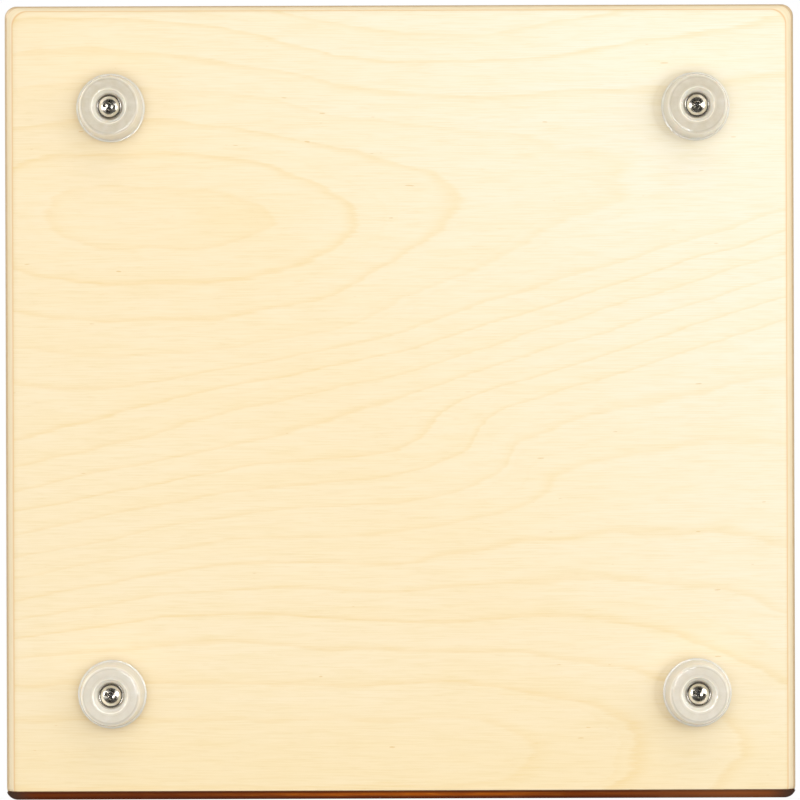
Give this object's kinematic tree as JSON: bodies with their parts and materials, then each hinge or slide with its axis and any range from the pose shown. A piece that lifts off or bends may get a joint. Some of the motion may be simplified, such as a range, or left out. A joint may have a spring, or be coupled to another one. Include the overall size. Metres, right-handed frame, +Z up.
{
  "type": "cajon",
  "caption": "Upright wooden box drum with a thin stained playing plate, a round sound hole at the back, snare wires inside and clear rubber feet.",
  "frame": {"origin": "on the floor, under the middle of the box (the lowest faces of the feet are at z = 0)", "axes": "+Z up, from the feet to the seat; -Y faces the player's audience, through the tapa; +Y is the back, with the sound hole; +X is on the right of someone facing the tapa"},
  "size_m": [0.3, 0.3014, 0.48],
  "materials": {
    "body_birch": "clear satin lacquer over birch plywood, with plywood edges showing in the rounded corners",
    "tapa_stained": "brown sunburst stain under clear satin lacquer, darkest at its edges",
    "raw_birch": "sanded, unlacquered",
    "foot_rubber": "clear, slightly milky moulded rubber, glossy",
    "nickel_steel": "bright nickel-plated steel",
    "black_steel": "black oxide steel, satin",
    "snare_steel": "bright coiled steel wire"
  },
  "bodies": {
    "root": {"bottom_panel": "body_birch", "seat_panel": "body_birch", "left_side": "body_birch", "right_side": "body_birch", "back_panel": "body_birch", "tapa": "tapa_stained", "foot_front_left": "foot_rubber", "foot_front_right": "foot_rubber", "foot_back_left": "foot_rubber", "foot_back_right": "foot_rubber", "foot_washer_front_left": "nickel_steel", "foot_washer_front_right": "nickel_steel", "foot_washer_back_left": "nickel_steel", "foot_washer_back_right": "nickel_steel", "foot_screw_front_left": "nickel_steel", "foot_screw_front_right": "nickel_steel", "foot_screw_back_left": "nickel_steel", "foot_screw_back_right": "nickel_steel", "tapa_screw_01": "black_steel", "tapa_screw_02": "black_steel", "tapa_screw_03": "black_steel", "tapa_screw_04": "black_steel", "tapa_screw_05": "black_steel", "tapa_screw_06": "black_steel", "tapa_screw_07": "black_steel", "tapa_screw_08": "black_steel", "tapa_screw_09": "black_steel", "tapa_screw_10": "black_steel", "tapa_screw_11": "black_steel", "tapa_screw_12": "black_steel", "tapa_screw_13": "black_steel", "tapa_screw_14": "black_steel", "tapa_screw_15": "black_steel", "tapa_screw_16": "black_steel", "snare_bar": "raw_birch", "snare_cleat_left": "raw_birch", "snare_cleat_right": "raw_birch", "snare_bar_screw_left": "nickel_steel", "snare_bar_screw_right": "nickel_steel", "snare_left": "snare_steel", "snare_right": "snare_steel", "snare_screw_1": "nickel_steel", "snare_screw_2": "nickel_steel", "snare_screw_3": "nickel_steel", "snare_screw_4": "nickel_steel"}
  },
  "joints": []
}
